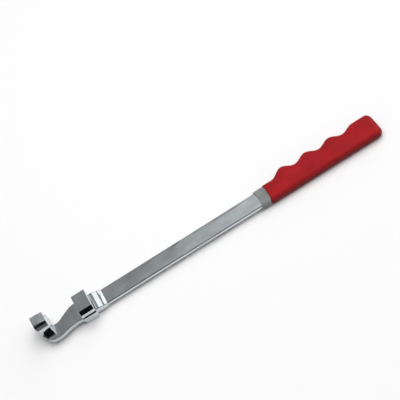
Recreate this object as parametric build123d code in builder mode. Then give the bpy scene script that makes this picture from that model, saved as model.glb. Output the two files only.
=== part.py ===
from build123d import *
import os

# Spanner extender: a forged hook head, welded to a flat bar that ends in a moulded grip.
# The tool lies on its broad side, on the foot of the lug and on the underside of the grip.
# Millimetres. X runs along the bar towards the grip, Z is up, and the bar's centreline is Y = 0.
# The origin is the middle of the lug's foot.

# Overall
overall_length = 385.0
lug_centre_from_hook = 53.1
hook_end_x = -lug_centre_from_hook
grip_end_x = overall_length - lug_centre_from_hook

# Lug: a block with a C-shaped slot, open to the front and to both ends
lug_length = 14.8
lug_front_y = -11.8
lug_back_y = 11.0
lug_height = 22.0
lug_bevel_start_y = -8.8
lug_bevel_end_z = 19.3
lug_lip_y = -12.9
slot_floor_z = 9.8
slot_roof_z = 14.6
slot_back_y = 4.6
slot_corner_radius = 1.5
lug_back_radius = 1.4
lug_edge_radius = 0.4
lug_end_radius = 0.6

# Neck and hook arm: a flat S-shaped plate, seen from above
neck_bottom_z = 4.5
neck_thickness = 5.5
neck_edge_radius = 0.9
neck_rim_end_x = -8.4
neck_back_at_lug = (-9.5, 10.2)
neck_back_curve = [(-18.2, 8.0), (-27.0, 3.6)]
gap_bottom = (-34.2, 1.7)
gap_corner_radius = 4.2
arm_side_bulge = (-37.9, 12.6)
arm_back_y = 17.6
arm_corner_radius = 2.8
arm_outer_x = hook_end_x
arm_outer_turn_y = 12.5
hook_outer_curve = [(-52.5, 3.0), (-46.9, -9.4)]
hook_front = (-37.6, -13.9)
neck_front_curve = [(-25.0, -11.7)]
neck_front_at_lug = (-12.4, -10.2)

# Seat: a shallow round spot face in front of the post
seat_centre = (-45.3, -6.5)
seat_radius = 11.7
seat_depth = 0.4

# Post: upright at the end of the hook, with a rounded nose
post_front_y = -3.6
post_back_y = 12.4
post_left_x = hook_end_x + 1.5
post_width = 13.2
post_height_z = 25.9
post_top_fall = 0.9
post_nose_radius = 8.9
post_nose_corner_radius = 4.2
post_corner_radius = 1.0

# Tail of the head: tapers from the lug down to the bar
tail_end_x = 15.0
tail_shelf_x = 10.8
tail_bottom_z = 3.0
tail_top_z = 10.2
tail_end_top_z = 9.15
tail_end_bottom_z = 2.2
tail_edge_from_x = 2.0
tail_back_y = 10.3
tail_front_y = -9.5
tail_end_half_width = 9.5
tail_edge_radius = 1.2

# Bar: flat section with crowned faces and rounded edges
bar_width = 17.5
bar_thickness = 5.0
bar_crown = 0.35
bar_edge_radius = 1.3
bar_centre_z = 5.5
tang_start_x = 200.0
tang_end_x = 318.0
tang_width = 13.0

# Weld: a dressed band around the bar behind the head's tail
weld_steps = [(0.0, 0.75), (1.2, 1.05), (3.0, 0.7), (4.8, 0.15)]
weld_side_share = 0.75
weld_edge_radius = 1.2

# Collar: the part of the grip core that shows in front of the grip
collar_start_x = 194.2
collar_end_x = 204.2
collar_width = 19.8
collar_thickness = 8.4
collar_edge_radius = 2.6
collar_rim_radius = 0.5
collar_bow = 1.6
grip_front_bow = 2.2

# Grip core behind the collar
core_width = 16.4
core_thickness = 7.6
core_edge_radius = 2.0
core_end_x = 320.5

# Grip: straight in front, finger grooves between the crests behind
grip_thickness = 11.0
grip_front_y = -10.5
grip_neck_y = 10.7
grip_crest_y = 17.8
grip_crest_fall = 0.3
grip_valley_y = 12.3
grip_first_crest_x = 229.8
grip_pitch = 27.0
grip_groove_count = 3
grip_neck_rise_length = 14.6
grip_crest_radius = 9.4
grip_end_slant = 2.6
grip_end_corner_radius = 6.0
grip_corner_overrun = 0.7
grip_edge_radius = 4.6
grip_front_edge_radius = 1.2

neck_top_z = neck_bottom_z + neck_thickness
half_lug = lug_length / 2


def bar_section(width):
    """Closed outline of the bar: crowned above and below, upright at its sides."""
    side_height = bar_thickness - 2 * bar_crown
    corner_y = width / 2
    corner_z = side_height / 2
    with BuildLine(mode=Mode.PRIVATE) as outline:
        ThreePointArc((-corner_y, corner_z), (0, bar_thickness / 2), (corner_y, corner_z))
        Line((corner_y, corner_z), (corner_y, -corner_z))
        ThreePointArc((corner_y, -corner_z), (0, -bar_thickness / 2), (-corner_y, -corner_z))
        Line((-corner_y, -corner_z), (-corner_y, corner_z))
    return outline.line


def bar_plane(x):
    """Plane across the bar at x, centred on the bar."""
    return Plane(origin=(x, 0, bar_centre_z), x_dir=(0, 1, 0), z_dir=(1, 0, 0))


def section_sketch(x, width):
    """Rounded bar section, standing on the plane across the bar at x."""
    with BuildSketch(bar_plane(x), mode=Mode.PRIVATE) as section:
        with BuildLine():
            add(bar_section(width))
        make_face()
        fillet(section.vertices(), radius=bar_edge_radius)
    return section.sketch


# Flat bar, with a narrower tang for the grip
with BuildPart() as shank_bar:
    extrude(section_sketch(tail_end_x, bar_width), amount=tang_start_x - tail_end_x)
    extrude(section_sketch(tang_start_x, tang_width), amount=tang_end_x - tang_start_x)
shank_bar.part.label = "shank_bar"


# Post: its plan, cut to a side profile with a rounded nose, and its top sloping towards the lug
with BuildPart() as post:
    with BuildSketch(Plane.XY.offset(neck_bottom_z)) as post_plan:
        with Locations((post_left_x, post_front_y)):
            Rectangle(post_width, post_back_y - post_front_y, align=(Align.MIN, Align.MIN))
        front_corners = post_plan.vertices().group_by(Axis.Y)[0].sort_by(Axis.X)
        fillet(front_corners[0], radius=post_nose_corner_radius)
        square_corners = post_plan.vertices().filter_by_position(
            Axis.X, post_left_x + post_nose_corner_radius + post_corner_radius, post_left_x + post_width)
        fillet(square_corners, radius=post_corner_radius)
    extrude(amount=post_height_z - neck_bottom_z)
    with BuildSketch(Plane.YZ.offset(hook_end_x)):
        with BuildLine():
            nose_start = (post_front_y, post_height_z - post_nose_radius)
            nose_end = (post_front_y + post_nose_radius, post_height_z)
            Polyline(nose_end, (post_back_y, post_height_z), (post_back_y, neck_bottom_z),
                     (post_front_y, neck_bottom_z), nose_start)
            RadiusArc(nose_start, nose_end, post_nose_radius)
        make_face()
    extrude(amount=post_left_x + post_width - hook_end_x, mode=Mode.INTERSECT)
    with BuildSketch(Plane.XZ):
        with BuildLine():
            post_right_x = post_left_x + post_width
            Polyline((post_left_x, neck_bottom_z), (post_left_x, post_height_z),
                     (post_right_x, post_height_z - post_top_fall), (post_right_x, neck_bottom_z),
                     close=True)
        make_face()
    extrude(amount=post_back_y, both=True, mode=Mode.INTERSECT)


# Lug: a C-shaped section along the bar, with a bevelled lip and all its edges broken
with BuildPart() as lug:
    with BuildSketch(Plane.YZ.offset(-half_lug)) as lug_section:
        with BuildLine():
            Polyline((lug_front_y, 0), (lug_back_y, 0), (lug_back_y, lug_height),
                     (lug_bevel_start_y, lug_height), (lug_lip_y, lug_bevel_end_z),
                     (lug_lip_y, slot_roof_z), (slot_back_y, slot_roof_z), (slot_back_y, slot_floor_z),
                     (lug_front_y, slot_floor_z), close=True)
        make_face()
        fillet(lug_section.vertices().filter_by_position(Axis.X, slot_back_y, slot_back_y),
               radius=slot_corner_radius)
        fillet(lug_section.vertices().filter_by_position(Axis.X, lug_back_y, lug_back_y),
               radius=lug_back_radius)
        fillet(lug_section.vertices().filter_by_position(Axis.X, lug_lip_y, lug_bevel_start_y),
               radius=lug_edge_radius)
    extrude(amount=lug_length)
    lug_ends = lug.faces().filter_by(Axis.X)
    fillet(lug_ends.edges(), radius=lug_end_radius)


# Tail: a wedge behind the lug, seen from above and from the side
with BuildPart() as tail:
    with BuildSketch(Plane.XY):
        with BuildLine():
            Polyline((0, tail_back_y), (tail_shelf_x, tail_back_y), (tail_end_x, tail_end_half_width),
                     (tail_end_x, -tail_end_half_width), (0, tail_front_y), close=True)
        make_face()
    extrude(amount=lug_height)
    with BuildSketch(Plane.XZ):
        with BuildLine():
            Polyline((0, tail_bottom_z), (0, tail_top_z), (tail_shelf_x, tail_top_z),
                     (tail_end_x, tail_end_top_z), (tail_end_x, tail_end_bottom_z), close=True)
        make_face()
    extrude(amount=lug_height, both=True, mode=Mode.INTERSECT)
    long_edges = tail.edges().filter_by_position(Axis.X, tail_edge_from_x, tail_end_x - tail_edge_from_x)
    fillet(long_edges, radius=tail_edge_radius)


# Hook head: neck plate, seat, post, lug and tail in one forging
with BuildPart() as hook_head:
    with BuildSketch(Plane.XY.offset(neck_bottom_z)) as neck_plan:
        with BuildLine():
            Spline(neck_back_at_lug, *neck_back_curve, gap_bottom, tangents=[(-1, 0), (-1, 0)])
            gap_corner_end = (gap_bottom[0] - gap_corner_radius, gap_bottom[1] + gap_corner_radius)
            TangentArc(gap_bottom, gap_corner_end, tangent=(-1, 0))
            Spline(gap_corner_end, arm_side_bulge, tangents=[(0, 1), (0, 1)])
            Polyline(arm_side_bulge, (arm_side_bulge[0], arm_back_y), (arm_outer_x, arm_back_y),
                     (arm_outer_x, arm_outer_turn_y))
            Spline((arm_outer_x, arm_outer_turn_y), *hook_outer_curve, hook_front,
                   tangents=[(0, -1), (1, 0)])
            Spline(hook_front, *neck_front_curve, neck_front_at_lug, tangents=[(1, 0), (1, 0)])
            TangentArc(neck_front_at_lug, (-half_lug, lug_front_y), tangent=(1, 0))
            Polyline((-half_lug, lug_front_y), (0, lug_front_y), (0, neck_back_at_lug[1]),
                     neck_back_at_lug)
        make_face()
        fillet(neck_plan.vertices().group_by(Axis.Y)[-1], radius=arm_corner_radius)
    extrude(amount=neck_thickness)
    neck_rim = hook_head.edges().filter_by(Axis.Z, reverse=True)
    fillet(neck_rim.filter_by_position(Axis.X, hook_end_x, neck_rim_end_x), radius=neck_edge_radius)
    with BuildSketch(Plane.XY.offset(neck_top_z - seat_depth)):
        with Locations(seat_centre):
            Circle(seat_radius)
    extrude(amount=seat_depth, mode=Mode.SUBTRACT)
    add(post.part)
    add(lug.part)
    add(tail.part)
hook_head.part.label = "hook_head"


# Weld: a dressed bead around the bar, swelling and then tapering down to it
with BuildPart() as joint_weld:
    for step, proud in weld_steps:
        with BuildSketch(bar_plane(tail_end_x + step)):
            RectangleRounded(bar_width + 2 * weld_side_share * proud, bar_thickness + 2 * proud,
                             weld_edge_radius)
    loft()
    weld_length = weld_steps[-1][0]
    extrude(section_sketch(tail_end_x, bar_width), amount=weld_length, mode=Mode.SUBTRACT)
joint_weld.part.label = "joint_weld"


def groove_side(valley, crest):
    """Half of a finger groove: two tangent arcs, level at the valley and at the crest."""
    rise = Vector(*crest) - Vector(*valley)
    radius_sum = rise.length ** 2 / (2 * rise.Y)
    turn = Vector(*valley) + rise * (1 - grip_crest_radius / radius_sum)
    heading = 1 if rise.X > 0 else -1
    TangentArc(valley, turn, tangent=(heading, 0))
    TangentArc(crest, turn, tangent=(-heading, 0))


def grip_front_arc():
    """The grip's front end seen from above, bowed towards the grip's end."""
    middle_y = (grip_front_y + grip_neck_y) / 2
    ThreePointArc((collar_end_x, grip_neck_y), (collar_end_x + grip_front_bow, middle_y),
                  (collar_end_x, grip_front_y))


# Plan of the grip: straight in front, finger grooves behind, slanted end
with BuildSketch(Plane.XY) as grip_plan:
    with BuildLine():
        crests = [(grip_first_crest_x + grip_pitch * i, grip_crest_y - grip_crest_fall * i)
                  for i in range(grip_groove_count + 1)]
        grip_corner_x = grip_end_x + grip_corner_overrun
        Polyline((collar_end_x, grip_front_y), (grip_corner_x, grip_front_y),
                 (grip_corner_x - grip_end_slant, crests[-1][1]), crests[-1])
        for left, right in zip(crests, crests[1:]):
            valley = ((left[0] + right[0]) / 2, grip_valley_y)
            groove_side(valley, left)
            groove_side(valley, right)
        grip_neck_end = (grip_first_crest_x - grip_neck_rise_length, grip_neck_y)
        groove_side(grip_neck_end, crests[0])
        Line(grip_neck_end, (collar_end_x, grip_neck_y))
        grip_front_arc()
    make_face()
    fillet(grip_plan.vertices().group_by(Axis.X)[-1] + grip_plan.vertices().group_by(Axis.X)[-2],
           radius=grip_end_corner_radius)


# Grip core: the collar, and a sleeve on the bar's tang
with BuildPart() as grip_core:
    with BuildSketch(bar_plane(collar_start_x)):
        RectangleRounded(collar_width, collar_thickness, collar_edge_radius)
    extrude(amount=collar_end_x + grip_front_bow - collar_start_x)
    with BuildSketch(Plane.XY):
        add(grip_plan.sketch)
        with BuildLine():
            bow_half_width = collar_width / 2
            ThreePointArc((collar_start_x, bow_half_width), (collar_start_x + collar_bow, 0),
                          (collar_start_x, -bow_half_width))
            Line((collar_start_x, -bow_half_width), (collar_start_x, bow_half_width))
        make_face()
    extrude(amount=grip_thickness, mode=Mode.SUBTRACT)
    fillet(grip_core.edges().group_by(Axis.X)[0], radius=collar_rim_radius)
    with BuildSketch(bar_plane(collar_end_x)):
        RectangleRounded(core_width, core_thickness, core_edge_radius)
    extrude(amount=core_end_x - collar_end_x)
    extrude(section_sketch(tail_end_x, bar_width), amount=tang_start_x - tail_end_x, mode=Mode.SUBTRACT)
    extrude(section_sketch(tang_start_x, tang_width), amount=tang_end_x - tang_start_x,
            mode=Mode.SUBTRACT)
grip_core.part.label = "grip_core"


# Grip sleeve: the soft cover over the core, rounded all round
with BuildPart() as grip_sleeve:
    add(grip_plan.sketch)
    extrude(amount=grip_thickness)
    front_face = grip_sleeve.faces().sort_by(Axis.X)[0]
    rim = grip_sleeve.faces().filter_by(Axis.Z).edges()
    fillet(rim - front_face.edges(), radius=grip_edge_radius)
    fillet(grip_sleeve.faces().sort_by(Axis.X)[0].edges(), radius=grip_front_edge_radius)
    with BuildSketch(bar_plane(collar_start_x)):
        RectangleRounded(core_width, core_thickness, core_edge_radius)
    extrude(amount=core_end_x - collar_start_x, mode=Mode.SUBTRACT)
grip_sleeve.part.label = "grip_sleeve"


os.makedirs("parts", exist_ok=True)
for piece in (hook_head, joint_weld, shank_bar, grip_core, grip_sleeve):
    export_step(piece.part, f"parts/{piece.part.label}.step")
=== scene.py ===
"""Spanner extender: plated metal, collar, finger-grooved soft grip, and its studio."""

import math

import bpy
from mathutils import Matrix, Vector


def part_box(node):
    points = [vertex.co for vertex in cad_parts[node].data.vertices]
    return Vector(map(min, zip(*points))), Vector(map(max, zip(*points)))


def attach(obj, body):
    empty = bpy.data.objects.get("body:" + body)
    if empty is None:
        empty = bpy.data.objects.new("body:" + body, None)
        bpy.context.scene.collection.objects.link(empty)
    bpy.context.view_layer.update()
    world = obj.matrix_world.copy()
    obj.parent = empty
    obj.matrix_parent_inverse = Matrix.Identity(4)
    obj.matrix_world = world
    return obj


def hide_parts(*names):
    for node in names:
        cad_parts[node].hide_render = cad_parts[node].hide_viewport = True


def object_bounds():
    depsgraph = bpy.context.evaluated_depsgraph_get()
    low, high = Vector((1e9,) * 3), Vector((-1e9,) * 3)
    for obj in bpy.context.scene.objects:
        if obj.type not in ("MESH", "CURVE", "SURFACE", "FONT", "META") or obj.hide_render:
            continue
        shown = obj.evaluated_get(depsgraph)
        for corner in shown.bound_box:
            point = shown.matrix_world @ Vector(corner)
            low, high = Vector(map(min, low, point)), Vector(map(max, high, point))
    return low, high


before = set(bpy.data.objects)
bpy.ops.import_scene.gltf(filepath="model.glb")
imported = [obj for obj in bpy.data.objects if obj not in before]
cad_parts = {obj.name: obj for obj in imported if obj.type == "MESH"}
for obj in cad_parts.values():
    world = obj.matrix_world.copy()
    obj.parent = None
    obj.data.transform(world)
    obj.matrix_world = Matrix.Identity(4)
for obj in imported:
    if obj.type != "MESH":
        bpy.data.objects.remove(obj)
CAD_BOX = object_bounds()

bl_info = {
    "name": "Spanner Extender",
    "version": (1, 0, 0),
    "blender": (4, 5, 0),
    "location": "View3D > Sidebar > Extender",
    "description": "Finishes a spanner extender, moulds its grip and sets its studio",
    "category": "Object",
}

GRIP_LOW, GRIP_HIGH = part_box("grip_sleeve")


# ---------------------------------------------------------------- settings


def length(name, description, default):
    """A size in metres that a user can change."""
    return bpy.props.FloatProperty(name=name, description=description, default=default, unit="LENGTH")


def colour(name, description, default):
    """A colour that a user can change."""
    return bpy.props.FloatVectorProperty(
        name=name, description=description, default=default, size=3, subtype="COLOR")


class ExtenderStageSettings(bpy.types.PropertyGroup):
    """Camera and floor"""

    view_elevation: bpy.props.FloatProperty(
        name="View Elevation", description="Camera height above the horizon",
        default=math.radians(57), subtype="ANGLE")
    view_roll: bpy.props.FloatProperty(
        name="View Roll", description="Slope of the bar in the picture",
        default=math.radians(32.1), subtype="ANGLE")
    view_distance: length("View Distance", "Camera to tool", 1.3)
    frame_width: length("Frame Width", "Width of the picture at the tool", 0.3845)
    frame_shift: bpy.props.FloatVectorProperty(
        name="Frame Shift", description="Tool centre from the picture's centre, right and up",
        default=(0.0064, -0.0254), size=2, subtype="TRANSLATION", unit="LENGTH")
    floor_colour: colour("Floor Colour", "Plain pale floor", (0.9, 0.9, 0.9))


class ExtenderFinishSettings(bpy.types.PropertyGroup):
    """Colours of the finishes"""

    chrome_colour: colour("Chrome Colour", "Tint of the plating", (0.575, 0.612, 0.632))
    collar_colour: colour("Collar Colour", "Grey moulded plastic", (0.215, 0.224, 0.217))
    grip_colour: colour("Grip Colour", "Red soft grip", (0.34, 0.0078, 0.0115))


class ExtenderGripSettings(bpy.types.PropertyGroup):
    """Sizes of the soft grip"""

    first_crest: length("First Crest", "Grip's front end to the first crest", 0.0256)
    groove_pitch: length("Groove Pitch", "Crest to crest", 0.027)
    groove_count: bpy.props.IntProperty(
        name="Groove Count", description="Grooves between crests", default=3)
    groove_depth: length("Groove Depth", "First crest down to the valleys", 0.0055)
    crest_fall: length("Crest Fall", "How much lower each crest is than the one before", 0.0003)
    neck_drop: length("Neck Drop", "First crest down to the straight stretch in front of it", 0.0071)
    neck_rise: length("Neck Rise", "Length of the slope up to the first crest", 0.0146)
    edge_radius: length("Edge Radius", "Rounding of the long edges", 0.0046)
    end_radius: length("End Radius", "Rounding of the end, seen from above", 0.0064)
    front_radius: length("Front Radius", "Rounding where the grip meets the collar", 0.0010)
    front_bow: length("Front Bow", "How far the front end bows in", 0.0022)
    end_slant: length("End Slant", "How far the end face leans", 0.0018)
    core_width: length("Core Width", "Width of the hollow for the core", 0.0164)
    core_thickness: length("Core Thickness", "Height of the hollow for the core", 0.0076)
    core_depth: length("Core Depth", "Length of the hollow for the core", 0.1163)


# ---------------------------------------------------------------- node helpers


def put(tree, target, value):
    """Feed a socket from another socket, or set it."""
    if isinstance(value, bpy.types.NodeSocket):
        tree.links.new(value, target)
    else:
        target.default_value = value


def sum_up(tree, operation, *values):
    """One math node."""
    node = tree.nodes.new("ShaderNodeMath")
    node.operation = operation
    for target, value in zip(node.inputs, values):
        put(tree, target, value)
    return node.outputs[0]


def remap(tree, value, low, high, new_low, new_high):
    """Take value from one range to another, and stop at the ends."""
    node = tree.nodes.new("ShaderNodeMapRange")
    for name, setting in (("Value", value), ("From Min", low), ("From Max", high),
                          ("To Min", new_low), ("To Max", new_high)):
        put(tree, node.inputs[name], setting)
    return node.outputs["Result"]


def blend(tree, mask, first, second, mode="MIX"):
    """Mix two colours by a mask."""
    mix = tree.nodes.new("ShaderNodeMix")
    mix.data_type = "RGBA"
    mix.blend_type = mode
    for name, value in (("Factor", mask), ("A", first), ("B", second)):
        target = next(s for s in mix.inputs if s.name == name and s.enabled)
        put(tree, target, value)
    return next(s for s in mix.outputs if s.enabled)


def new_group(name, inputs, outputs):
    """A shader group; returns it with its input sockets and its output node."""
    group = bpy.data.node_groups.new(name, "ShaderNodeTree")
    for label, kind, default in inputs:
        group.interface.new_socket(label, in_out="INPUT", socket_type=kind).default_value = default
    for label in outputs:
        group.interface.new_socket(label, in_out="OUTPUT", socket_type="NodeSocketFloat")
    return group, group.nodes.new("NodeGroupInput").outputs, group.nodes.new("NodeGroupOutput").inputs


def use_group(tree, group, **settings):
    """Place a shader group, feed its inputs and return its outputs."""
    node = tree.nodes.new("ShaderNodeGroup")
    node.node_tree = group
    for name, value in settings.items():
        put(tree, node.inputs[name.replace("_", " ").title()], value)
    return node.outputs


def stretched_noise(tree, scale, stretch, detail):
    """Noise on Object coordinates, drawn out along the bar by stretch."""
    place = tree.nodes.new("ShaderNodeTexCoord").outputs["Object"]
    squeeze = tree.nodes.new("ShaderNodeCombineXYZ")
    put(tree, squeeze.inputs["X"], sum_up(tree, "DIVIDE", 1.0, stretch))
    squeeze.inputs["Y"].default_value = 1
    squeeze.inputs["Z"].default_value = 1
    drawn = tree.nodes.new("ShaderNodeVectorMath")
    drawn.operation = "MULTIPLY"
    tree.links.new(place, drawn.inputs[0])
    tree.links.new(squeeze.outputs["Vector"], drawn.inputs[1])
    noise = tree.nodes.new("ShaderNodeTexNoise")
    tree.links.new(drawn.outputs["Vector"], noise.inputs["Vector"])
    put(tree, noise.inputs["Scale"], scale)
    noise.inputs["Detail"].default_value = detail
    return noise.outputs["Fac"]


# ---------------------------------------------------------------- shared effects

# Noise values where a mask starts and where it is full
GRAIN_EDGES = (0.48, 0.66)
CLOUD_EDGES = (0.35, 0.65)
WEAR_AND_HIGHLIGHT_BREAKUP = (0.35, 0.6)
LEAST_WEAR_AND_HIGHLIGHT = 0.2
# How far the rounded and the true normal agree just off an edge and on it
EDGE_AGREEMENT = (0.99, 0.90)


def grain_group():
    """Fine all-over grain: a height and a mask of its high spots."""
    group, given, result = new_group(
        "grain", [("Scale", "NodeSocketFloat", 900.0), ("Stretch", "NodeSocketFloat", 1.0)],
        ("Height", "Mask"))
    height = stretched_noise(group, given["Scale"], given["Stretch"], 4)
    group.links.new(height, result["Height"])
    group.links.new(remap(group, height, *GRAIN_EDGES, 0.0, 1.0), result["Mask"])
    return group


def cloud_group():
    """Slow uneven patches, from 0 to 1."""
    group, given, result = new_group(
        "clouds", [("Scale", "NodeSocketFloat", 40.0), ("Stretch", "NodeSocketFloat", 1.0)], ("Mask",))
    patches = stretched_noise(group, given["Scale"], given["Stretch"], 2)
    group.links.new(remap(group, patches, *CLOUD_EDGES, 0.0, 1.0), result["Mask"])
    return group


def edge_group():
    """Mask of the edges for wear and a painted highlight, broken up as handling wears them."""
    group, given, result = new_group(
        "edge_wear", [("Radius", "NodeSocketFloat", 0.0008), ("Breakup", "NodeSocketFloat", 300.0)],
        ("Mask",))
    rounded = group.nodes.new("ShaderNodeBevel")
    group.links.new(given["Radius"], rounded.inputs["Radius"])
    flat = group.nodes.new("ShaderNodeNewGeometry")
    agree = group.nodes.new("ShaderNodeVectorMath")
    agree.operation = "DOT_PRODUCT"
    group.links.new(rounded.outputs["Normal"], agree.inputs[0])
    group.links.new(flat.outputs["Normal"], agree.inputs[1])
    edge = remap(group, agree.outputs["Value"], *EDGE_AGREEMENT, 0.0, 1.0)
    breakup = stretched_noise(group, given["Breakup"], 1.0, 3)
    broken = remap(group, breakup, *WEAR_AND_HIGHLIGHT_BREAKUP, LEAST_WEAR_AND_HIGHLIGHT, 1.0)
    group.links.new(sum_up(group, "MULTIPLY", edge, broken), result["Mask"])
    return group


def shared(name):
    """The effect's node group, made on first use."""
    makers = {"grain": grain_group, "clouds": cloud_group, "edge_wear": edge_group}
    return bpy.data.node_groups.get(name) or makers[name]()


# ---------------------------------------------------------------- materials

# Patches, and worn edges with their painted highlight, are shares of the base colour; depths are in metres
CHROME_PATCHES = (0.94, 1.14)
CHROME_EDGE_WEAR_AND_HIGHLIGHT = 1.2
SCRATCH_ROUGHNESS = 0.10
PATCH_ROUGHNESS = 0.03
SCRATCH_DEPTH = 0.000006

COLLAR_PATCHES = (0.90, 1.10)
COLLAR_RIM_WEAR_AND_HIGHLIGHT = 1.6
COLLAR_ROUGHNESS = (0.48, 0.66)
COLLAR_GRAIN_DEPTH = 0.00005

RUBBER_PATCHES = (0.84, 1.10)
RUBBER_STIPPLE = 0.93
# Share of the base colour in the painted shade on the grip's rounded sides
RUBBER_SIDE_SHADE = 0.55
RUBBER_SEAM = 0.6
RUBBER_ROUGHNESS = (0.62, 0.80)
STIPPLE_DEPTH = 0.00018
SEAM_DEPTH = 0.0002
# Distances from the parting line where its mark is full and where it has gone
SEAM_EDGES = (0.00012, 0.00030)
# Depths below the grip's top where the painted shade on its sides starts and where it is full
SIDE_SHADE_START, SIDE_SHADE_FULL = 0.0004, 0.0040


def new_material(name):
    """A material with a Principled shader; returns the material, its tree and the shader."""
    material = bpy.data.materials.new(name)
    material.use_nodes = True
    tree = material.node_tree
    return material, tree, tree.nodes["Principled BSDF"]


def emboss(tree, height, depth, under=None):
    """Bump of a given depth in metres, on top of another normal."""
    bump = tree.nodes.new("ShaderNodeBump")
    bump.inputs["Distance"].default_value = depth
    tree.links.new(height, bump.inputs["Height"])
    if under:
        tree.links.new(under, bump.inputs["Normal"])
    return bump.outputs["Normal"]


def toned(tint, share):
    """A colour made darker or lighter by a share, with full alpha."""
    return (*(channel * share for channel in tint), 1)


def chrome(name, tint, ripple, stretch, scratch_stretch, roughness):
    """Plating over a polished surface: slow ripple, fine polishing lines, and edges made brighter in colour
    for wear and a painted highlight.
    """
    material, tree, shader = new_material(name)
    patches = use_group(tree, shared("clouds"), scale=28.0, stretch=stretch)["Mask"]
    lines = use_group(tree, shared("grain"), scale=1500.0, stretch=scratch_stretch)
    # Edge mask: worn edges with a painted highlight along them
    edges = use_group(tree, shared("edge_wear"), radius=0.0007)["Mask"]
    body = blend(tree, patches, *(toned(tint, share) for share in CHROME_PATCHES))
    put(tree, shader.inputs["Base Color"], blend(tree, edges, body, toned(tint, CHROME_EDGE_WEAR_AND_HIGHLIGHT)))
    shader.inputs["Metallic"].default_value = 1
    scuffed = sum_up(tree, "MULTIPLY_ADD", lines["Mask"], SCRATCH_ROUGHNESS, roughness)
    put(tree, shader.inputs["Roughness"], sum_up(tree, "MULTIPLY_ADD", patches, PATCH_ROUGHNESS, scuffed))
    swell = use_group(tree, shared("clouds"), scale=60.0, stretch=stretch)["Mask"]
    waved = emboss(tree, swell, ripple)
    put(tree, shader.inputs["Normal"], emboss(tree, lines["Height"], SCRATCH_DEPTH, waved))
    return material


def collar_plastic(tint):
    """Satin moulded plastic with a fine grain and rims made paler in colour, for wear and a painted
    highlight.
    """
    material, tree, shader = new_material("collar_plastic")
    patches = use_group(tree, shared("clouds"), scale=120.0, stretch=1.0)["Mask"]
    grain = use_group(tree, shared("grain"), scale=2600.0, stretch=1.0)
    # Paler rims: wear and a painted highlight along the collar's edges
    edges = use_group(tree, shared("edge_wear"), radius=0.0010, breakup=500.0)["Mask"]
    body = blend(tree, patches, *(toned(tint, share) for share in COLLAR_PATCHES))
    put(tree, shader.inputs["Base Color"], blend(tree, edges, body, toned(tint, COLLAR_RIM_WEAR_AND_HIGHLIGHT)))
    put(tree, shader.inputs["Roughness"], remap(tree, grain["Mask"], 0.0, 1.0, *COLLAR_ROUGHNESS))
    shader.inputs["Specular IOR Level"].default_value = 0.3
    put(tree, shader.inputs["Normal"], emboss(tree, grain["Height"], COLLAR_GRAIN_DEPTH))
    return material


def grip_rubber(tint, parting_height):
    """Soft matte rubber: stippled, a little mottled, with painted shade darkening its rounded sides, and a
    parting line round its middle.
    """
    material, tree, shader = new_material("grip_rubber")
    patches = use_group(tree, shared("clouds"), scale=75.0, stretch=2.0)["Mask"]
    stipple = use_group(tree, shared("grain"), scale=1400.0, stretch=1.0)
    place = tree.nodes.new("ShaderNodeTexCoord").outputs["Object"]
    axes = tree.nodes.new("ShaderNodeSeparateXYZ")
    tree.links.new(place, axes.inputs["Vector"])
    off_line = sum_up(tree, "ABSOLUTE", sum_up(tree, "SUBTRACT", axes.outputs["Z"], parting_height))
    seam = remap(tree, off_line, *SEAM_EDGES, 1.0, 0.0)
    body = blend(tree, patches, *(toned(tint, share) for share in RUBBER_PATCHES))
    speckled = blend(tree, stipple["Mask"], body, toned(tint, RUBBER_STIPPLE))
    # Painted shade: the grip's rounded sides are darkened in colour below its top
    shade_top, shade_low = GRIP_HIGH.z - SIDE_SHADE_START, GRIP_HIGH.z - SIDE_SHADE_FULL
    side = remap(tree, axes.outputs["Z"], shade_top, shade_low, 0.0, 1.0)
    side_shaded = blend(tree, side, speckled, toned(tint, RUBBER_SIDE_SHADE))
    put(tree, shader.inputs["Base Color"], blend(tree, seam, side_shaded, toned(tint, RUBBER_SEAM)))
    put(tree, shader.inputs["Roughness"], remap(tree, stipple["Mask"], 0.0, 1.0, *RUBBER_ROUGHNESS))
    shader.inputs["Specular IOR Level"].default_value = 0.25
    raised = emboss(tree, stipple["Height"], STIPPLE_DEPTH)
    put(tree, shader.inputs["Normal"], emboss(tree, seam, SEAM_DEPTH, raised))
    return material


def dress(node, material):
    """Give a frame node one material."""
    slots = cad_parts[node].data.materials
    slots.clear()
    slots.append(material)


# ---------------------------------------------------------------- pieces


class EXTENDER_OT_metal(bpy.types.Operator):
    """Plate the head, the weld and the bar"""

    bl_idname = "extender.metal"
    bl_label = "Chrome Metal"

    def execute(self, context):
        tint = context.scene.extender_finish.chrome_colour
        dress("hook_head", chrome("forged_chrome", tint, 0.00030, 1.5, 1.0, 0.07))
        dress("joint_weld", chrome("weld_chrome", tint, 0.00035, 0.25, 0.2, 0.12))
        dress("shank_bar", chrome("bar_chrome", tint, 0.0005, 4.0, 30.0, 0.08))
        return {"FINISHED"}


class EXTENDER_OT_collar(bpy.types.Operator):
    """Mould the collar and core in grey plastic"""

    bl_idname = "extender.collar"
    bl_label = "Collar"

    def execute(self, context):
        dress("grip_core", collar_plastic(context.scene.extender_finish.collar_colour))
        return {"FINISHED"}


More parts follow.
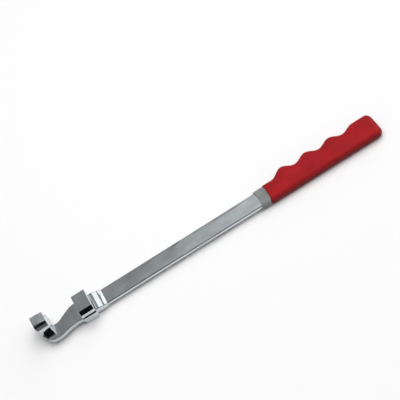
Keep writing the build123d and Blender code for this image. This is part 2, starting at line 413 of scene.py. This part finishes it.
def grip_back_line(tree, given, x):
    """The grip's finger side at x: a slope up to the first crest, grooves, then a level block."""
    first_x = sum_up(tree, "ADD", given["Front X"], given["First Crest"])
    along = sum_up(tree, "DIVIDE", sum_up(tree, "SUBTRACT", x, first_x), given["Groove Pitch"])
    turns = sum_up(tree, "MINIMUM", sum_up(tree, "MAXIMUM", along, 0.0), given["Groove Count"])
    wave = sum_up(tree, "COSINE", sum_up(tree, "MULTIPLY", turns, math.tau))
    dip = sum_up(tree, "MULTIPLY_ADD", wave, -0.5, 0.5)
    groove = sum_up(tree, "MULTIPLY", dip, given["Groove Depth"])
    crest_share = sum_up(tree, "SUBTRACT", 1.0, dip)
    lowered = sum_up(tree, "MULTIPLY", sum_up(tree, "MULTIPLY", turns, given["Crest Fall"]), crest_share)
    fall = sum_up(tree, "ADD", lowered, groove)
    crests = sum_up(tree, "SUBTRACT", given["Crest Y"], fall)
    start_x = sum_up(tree, "SUBTRACT", first_x, given["Neck Rise"])
    climb = remap(tree, x, start_x, first_x, math.pi, 0.0)
    neck = sum_up(tree, "MULTIPLY", given["Neck Drop"],
                  sum_up(tree, "MULTIPLY_ADD", sum_up(tree, "COSINE", climb), -0.5, 0.5))
    return sum_up(tree, "SUBTRACT", crests, neck)


def ring_side(tree, turn, half, radius):
    """One coordinate round a rounded box: the corner's centre plus its round part."""
    side = sum_up(tree, "SIGN", turn)
    centre = sum_up(tree, "MULTIPLY", side, sum_up(tree, "SUBTRACT", half, radius))
    return sum_up(tree, "MULTIPLY_ADD", turn, radius, centre)


GRIP_ROWS = 401
GRIP_COLUMNS = 49
# Shares of the rows: up to the hollow's mouth, the front rounding, the body, the end rounding
HOLLOW_END, FRONT_END, BODY_END, ROUND_END = 0.05, 0.08, 0.93, 0.9974
# The first and last rings close to lines this share of the ring's width
CAP_LINE_SHARE = 0.9
# Length over which the front bow and the end lean fade out
END_FADE = 0.012
MERGE_DISTANCE = 0.000002


def grip_tree():
    """Node tree that moulds the grip: rounded rings along the bar, out from the hollow and over the end."""
    tree = bpy.data.node_groups.new("finger_grip", "GeometryNodeTree")
    tree.interface.new_socket("Geometry", in_out="OUTPUT", socket_type="NodeSocketGeometry")
    for label in ("Front X", "End X", "Front Y", "Crest Y", "Thickness", "First Crest", "Groove Pitch",
                  "Groove Count", "Groove Depth", "Crest Fall", "Neck Drop", "Neck Rise", "Edge Radius",
                  "End Radius", "Front Radius", "Front Bow", "End Slant", "Core Width",
                  "Core Thickness", "Core Depth"):
        tree.interface.new_socket(label, in_out="INPUT", socket_type="NodeSocketFloat")
    tree.interface.new_socket("Material", in_out="INPUT", socket_type="NodeSocketMaterial")
    given = tree.nodes.new("NodeGroupInput").outputs

    grid = tree.nodes.new("GeometryNodeMeshGrid")
    for name, value in (("Size X", 1.0), ("Size Y", 1.0), ("Vertices X", GRIP_ROWS),
                        ("Vertices Y", GRIP_COLUMNS)):
        grid.inputs[name].default_value = value
    place = tree.nodes.new("ShaderNodeSeparateXYZ")
    tree.links.new(tree.nodes.new("GeometryNodeInputPosition").outputs[0], place.inputs[0])
    row = sum_up(tree, "ADD", place.outputs["X"], 0.5)
    half_step = math.pi / (GRIP_COLUMNS - 1)
    turn = sum_up(tree, "MULTIPLY_ADD", sum_up(tree, "ADD", place.outputs["Y"], 0.5), math.tau, half_step)

    # Along the bar
    quarter = math.pi / 2
    first_ring = 1 / (GRIP_ROWS - 1)
    inside = remap(tree, row, first_ring, HOLLOW_END, given["Core Depth"], 0.0)
    front_turn = remap(tree, row, HOLLOW_END, FRONT_END, quarter, 0.0)
    end_turn = remap(tree, row, BODY_END, ROUND_END, 0.0, quarter)
    straight = sum_up(tree, "SUBTRACT", sum_up(tree, "SUBTRACT", given["End X"], given["Front X"]),
                      sum_up(tree, "ADD", given["Front Radius"], given["End Radius"]))
    front_x = sum_up(tree, "MULTIPLY", given["Front Radius"],
                     sum_up(tree, "SUBTRACT", 1.0, sum_up(tree, "SINE", front_turn)))
    end_x = sum_up(tree, "MULTIPLY", given["End Radius"], sum_up(tree, "SINE", end_turn))
    body_x = sum_up(tree, "MULTIPLY", remap(tree, row, FRONT_END, BODY_END, 0.0, 1.0), straight)
    x = sum_up(tree, "ADD", sum_up(tree, "ADD", sum_up(tree, "ADD", given["Front X"], inside), front_x),
               sum_up(tree, "ADD", body_x, end_x))
    front_inset = sum_up(tree, "MULTIPLY", given["Front Radius"],
                         sum_up(tree, "SUBTRACT", 1.0, sum_up(tree, "COSINE", front_turn)))
    end_share = sum_up(tree, "SUBTRACT", 1.0, sum_up(tree, "COSINE", end_turn))
    side_inset = sum_up(tree, "MULTIPLY_ADD", end_share, given["End Radius"], front_inset)
    inset = sum_up(tree, "MULTIPLY_ADD", end_share, given["Edge Radius"], front_inset)

    # Around the section: the hollow in the first rows, the grip's outside in the others
    outer = sum_up(tree, "GREATER_THAN", row, HOLLOW_END)
    back_y = grip_back_line(tree, given, x)
    half_width = sum_up(tree, "MULTIPLY", sum_up(tree, "SUBTRACT", back_y, given["Front Y"]), 0.5)
    middle_y = sum_up(tree, "MULTIPLY", sum_up(tree, "ADD", back_y, given["Front Y"]), 0.5)

    def inner_or_outer(inner, outside):
        return remap(tree, outer, 0.0, 1.0, inner, outside)

    half_height = sum_up(tree, "MULTIPLY", given["Thickness"], 0.5)
    core_half_height = sum_up(tree, "MULTIPLY", given["Core Thickness"], 0.5)
    core_half_width = sum_up(tree, "MULTIPLY", given["Core Width"], 0.5)
    least_radius = 0.0003
    core_radius = 0.0020
    corner = sum_up(tree, "MAXIMUM", sum_up(tree, "SUBTRACT", given["Edge Radius"], inset), least_radius)
    radius = inner_or_outer(core_radius, corner)
    ring_half_width = inner_or_outer(core_half_width, sum_up(tree, "SUBTRACT", half_width, side_inset))
    ring_half_height = inner_or_outer(core_half_height, sum_up(tree, "SUBTRACT", half_height, inset))
    across = ring_side(tree, sum_up(tree, "COSINE", turn), ring_half_width, radius)
    up = ring_side(tree, sum_up(tree, "SINE", turn), ring_half_height, radius)
    first_row, last_row = 0.5 / GRIP_ROWS, 1 - 0.5 / GRIP_ROWS
    open_rows = sum_up(tree, "MULTIPLY", sum_up(tree, "GREATER_THAN", row, first_row),
                       sum_up(tree, "LESS_THAN", row, last_row))
    z = sum_up(tree, "MULTIPLY_ADD", up, open_rows, half_height)
    cap_line = remap(tree, open_rows, 0.0, 1.0, CAP_LINE_SHARE, 1.0)
    y = sum_up(tree, "MULTIPLY_ADD", across, cap_line, inner_or_outer(0.0, middle_y))

    # Bow of the front end and lean of the end face
    off_middle = sum_up(tree, "DIVIDE", sum_up(tree, "SUBTRACT", y, middle_y), half_width)
    bow_share = sum_up(tree, "SUBTRACT", 1.0, sum_up(tree, "MULTIPLY", off_middle, off_middle))
    bow_fade = remap(tree, x, given["Front X"], sum_up(tree, "ADD", given["Front X"], END_FADE), 1.0, 0.0)
    bow = sum_up(tree, "MULTIPLY", sum_up(tree, "MULTIPLY", bow_share, bow_fade), given["Front Bow"])
    lean_fade = remap(tree, x, sum_up(tree, "SUBTRACT", given["End X"], END_FADE), given["End X"], 0.0, 1.0)
    lean = sum_up(tree, "MULTIPLY", sum_up(tree, "MULTIPLY_ADD", off_middle, 0.5, 0.5),
                  sum_up(tree, "MULTIPLY", lean_fade, given["End Slant"]))
    final_x = sum_up(tree, "SUBTRACT", sum_up(tree, "ADD", x, bow), sum_up(tree, "MULTIPLY", lean, outer))

    point = tree.nodes.new("ShaderNodeCombineXYZ")
    for target, value in zip(point.inputs, (final_x, y, z)):
        tree.links.new(value, target)
    mould = tree.nodes.new("GeometryNodeSetPosition")
    tree.links.new(point.outputs[0], mould.inputs["Position"])
    close = tree.nodes.new("GeometryNodeMergeByDistance")
    close.inputs["Distance"].default_value = MERGE_DISTANCE
    outwards = tree.nodes.new("GeometryNodeFlipFaces")
    smooth = tree.nodes.new("GeometryNodeSetShadeSmooth")
    real = tree.nodes.new("GeometryNodeRealizeInstances")
    finish = tree.nodes.new("GeometryNodeSetMaterial")
    tree.links.new(given["Material"], finish.inputs["Material"])
    result = tree.nodes.new("NodeGroupOutput")
    steps = [grid.outputs["Mesh"]]
    for step in (mould, close, outwards, smooth, real, finish):
        tree.links.new(steps[-1], step.inputs[0])
        steps.append(step.outputs[0])
    tree.links.new(steps[-1], result.inputs["Geometry"])
    return tree


def run_tree(name, tree, **settings):
    """Run a node tree on an empty mesh and return the result as a plain object."""
    carrier = bpy.data.objects.new(name + "_carrier", bpy.data.meshes.new(name + "_carrier"))
    bpy.context.scene.collection.objects.link(carrier)
    modifier = carrier.modifiers.new("nodes", "NODES")
    modifier.node_group = tree
    for item in tree.interface.items_tree:
        key = item.name.lower().replace(" ", "_")
        if item.in_out == "INPUT" and key in settings:
            modifier[item.identifier] = settings[key]
    shaped = carrier.evaluated_get(bpy.context.evaluated_depsgraph_get())
    mesh = bpy.data.meshes.new_from_object(shaped)
    mesh.name = name
    mesh.materials.clear()
    mesh.materials.append(settings["material"])
    bpy.data.objects.remove(carrier)
    piece = bpy.data.objects.new(name, mesh)
    bpy.context.scene.collection.objects.link(piece)
    return piece


class EXTENDER_OT_grip(bpy.types.Operator):
    """Mould the finger-grooved soft grip"""

    bl_idname = "extender.grip"
    bl_label = "Finger Grip"

    def execute(self, context):
        grip = context.scene.extender_grip
        names = ("first_crest", "groove_pitch", "groove_depth", "crest_fall", "neck_drop", "neck_rise",
                 "edge_radius", "end_radius", "front_radius", "front_bow", "end_slant", "core_width",
                 "core_thickness", "core_depth")
        sizes = {name: getattr(grip, name) for name in names}
        rubber = grip_rubber(context.scene.extender_finish.grip_colour, (GRIP_LOW.z + GRIP_HIGH.z) / 2)
        piece = run_tree(
            "finger_grip", grip_tree(), front_x=GRIP_LOW.x, end_x=GRIP_HIGH.x, front_y=GRIP_LOW.y,
            crest_y=GRIP_HIGH.y, thickness=GRIP_HIGH.z - GRIP_LOW.z, groove_count=float(grip.groove_count),
            material=rubber, **sizes)
        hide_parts("grip_sleeve")
        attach(piece, "root")
        return {"FINISHED"}


# ---------------------------------------------------------------- stage

# Ramp stops of the surround: how far a direction faces an axis, from 0 to 1, and its brightness
SIDE_LIGHT = ((0.0, 0.12), (0.40, 0.13), (0.46, 0.18), (0.53, 0.36),
              (0.64, 0.70), (0.74, 0.90), (0.85, 0.60), (1.0, 0.45))
LENS_SHADE = ((0.0, 1.0), (0.945, 1.0), (0.985, 0.03), (1.0, 0.01))
BACK_SHADE = ((0.0, 1.0), (0.90, 1.0), (0.96, 0.12), (1.0, 0.05))
FRONT_SHADE = ((0.0, 1.0), (0.86, 1.0), (0.94, 0.35), (1.0, 0.20))
LOW_BACK = Vector((0, 1, 0.2)).normalized()
LOW_FRONT = Vector((0.5, -1, 0.35)).normalized()
SURROUND_STRENGTH = 2.0
BACKDROP = (0.45, 0.45, 0.45)
OVERHEAD_OFFSET = Vector((0.1, 0.2, 1.4))
OVERHEAD_SIZE = (1.6, 1.6)
OVERHEAD_POWER = 15.5
FLOOR_SPAN = 20
FLOOR_GAP = 0.0002


def area_light(name, place, target, size, power):
    """A soft light that brightens the floor and the grip but leaves no shape in the chrome."""
    data = bpy.data.lights.new(name, "AREA")
    data.shape = "RECTANGLE"
    data.size, data.size_y = size
    data.energy = power
    light = bpy.data.objects.new(name, data)
    light.location = place
    light.rotation_euler = (Vector(target) - Vector(place)).to_track_quat("-Z", "Y").to_euler()
    light.visible_glossy = False
    bpy.context.scene.collection.objects.link(light)


def grade(tree, value, stops):
    """A colour ramp over value; each stop is a position and a brightness."""
    ramp = tree.nodes.new("ShaderNodeValToRGB")
    elements = ramp.color_ramp.elements
    while len(elements) < len(stops):
        elements.new(1.0)
    for element, (position, brightness) in zip(elements, stops):
        element.position = position
        element.color = (brightness, brightness, brightness, 1)
    tree.links.new(value, ramp.inputs["Fac"])
    return ramp.outputs["Color"]


def facing(tree, direction, axis):
    """0 to 1 as direction turns from away from the axis to along it."""
    dot = tree.nodes.new("ShaderNodeVectorMath")
    dot.operation = "DOT_PRODUCT"
    tree.links.new(direction, dot.inputs[0])
    dot.inputs[1].default_value = axis
    return remap(tree, dot.outputs["Value"], -1.0, 1.0, 0.0, 1.0)


def studio_world(camera_back):
    """Soft surround, brighter towards the grip's side and dark behind the camera; a plain pale backdrop."""
    world = bpy.data.worlds.new("studio")
    world.use_nodes = True
    bpy.context.scene.world = world
    tree = world.node_tree
    direction = tree.nodes.new("ShaderNodeTexCoord").outputs["Generated"]
    side_light = grade(tree, facing(tree, direction, (1, 0, 0)), SIDE_LIGHT)
    lens_shade = grade(tree, facing(tree, direction, camera_back), LENS_SHADE)
    back_shade = grade(tree, facing(tree, direction, LOW_BACK), BACK_SHADE)
    front_shade = grade(tree, facing(tree, direction, LOW_FRONT), FRONT_SHADE)
    background = tree.nodes["Background"]
    end_shades = blend(tree, 1.0, back_shade, front_shade, "MULTIPLY")
    shades = blend(tree, 1.0, lens_shade, end_shades, "MULTIPLY")
    surround = blend(tree, 1.0, side_light, shades, "MULTIPLY")
    seen_directly = tree.nodes.new("ShaderNodeLightPath").outputs["Is Camera Ray"]
    backdrop = blend(tree, seen_directly, surround, toned(BACKDROP, 1.0))
    tree.links.new(backdrop, background.inputs["Color"])
    background.inputs["Strength"].default_value = SURROUND_STRENGTH


class EXTENDER_OT_stage(bpy.types.Operator):
    """Lay the pale floor, hang the light and set the camera"""

    bl_idname = "extender.stage"
    bl_label = "Stage"

    def execute(self, context):
        stage = context.scene.extender_stage
        low, high = CAD_BOX
        centre = (low + high) / 2
        tool_length = high.x - low.x
        floor_place = (centre.x, centre.y, low.z - FLOOR_GAP)
        bpy.ops.mesh.primitive_plane_add(size=tool_length * FLOOR_SPAN, location=floor_place)
        floor = context.object
        floor.name = "floor"
        floor_material, tree, shader = new_material("floor_paper")
        shader.inputs["Base Color"].default_value = (*stage.floor_colour, 1)
        shader.inputs["Roughness"].default_value = 0.9
        floor.data.materials.append(floor_material)

        back = Vector((0, -math.cos(stage.view_elevation), math.sin(stage.view_elevation)))
        level_up = Vector((0, math.sin(stage.view_elevation), math.cos(stage.view_elevation)))
        along = Vector((1, 0, 0))
        right = along * math.cos(stage.view_roll) - level_up * math.sin(stage.view_roll)
        up = along * math.sin(stage.view_roll) + level_up * math.cos(stage.view_roll)
        aim = centre - right * stage.frame_shift[0] - up * stage.frame_shift[1]
        data = bpy.data.cameras.new("camera")
        data.lens = data.sensor_width * stage.view_distance / stage.frame_width
        data.clip_end = stage.view_distance * 10
        camera = bpy.data.objects.new("camera", data)
        camera.matrix_world = Matrix((right, up, back)).transposed().to_4x4()
        camera.location = aim + back * stage.view_distance
        context.scene.collection.objects.link(camera)
        context.scene.camera = camera

        studio_world(back)
        context.scene.view_settings.view_transform = "Standard"
        area_light("overhead_light", centre + OVERHEAD_OFFSET, centre, OVERHEAD_SIZE, OVERHEAD_POWER)
        return {"FINISHED"}


class EXTENDER_PT_panel(bpy.types.Panel):
    """Steps that finish the spanner extender"""

    bl_label = "Spanner Extender"
    bl_idname = "EXTENDER_PT_panel"
    bl_space_type = "VIEW_3D"
    bl_region_type = "UI"
    bl_category = "Extender"

    def draw(self, context):
        for operator in OPERATORS:
            self.layout.operator(operator.bl_idname)


SETTINGS = {
    "extender_stage": ExtenderStageSettings,
    "extender_finish": ExtenderFinishSettings,
    "extender_grip": ExtenderGripSettings,
}
OPERATORS = (EXTENDER_OT_metal, EXTENDER_OT_collar, EXTENDER_OT_grip, EXTENDER_OT_stage)


def register():
    for cls in (*SETTINGS.values(), *OPERATORS, EXTENDER_PT_panel):
        bpy.utils.register_class(cls)
    for name, cls in SETTINGS.items():
        setattr(bpy.types.Scene, name, bpy.props.PointerProperty(type=cls))


def unregister():
    for name in SETTINGS:
        delattr(bpy.types.Scene, name)
    for cls in reversed((*SETTINGS.values(), *OPERATORS, EXTENDER_PT_panel)):
        bpy.utils.unregister_class(cls)


def main():
    register()
    bpy.ops.extender.metal()
    bpy.ops.extender.collar()
    bpy.ops.extender.grip()
    bpy.ops.extender.stage()


if __name__ == "__main__":
    main()
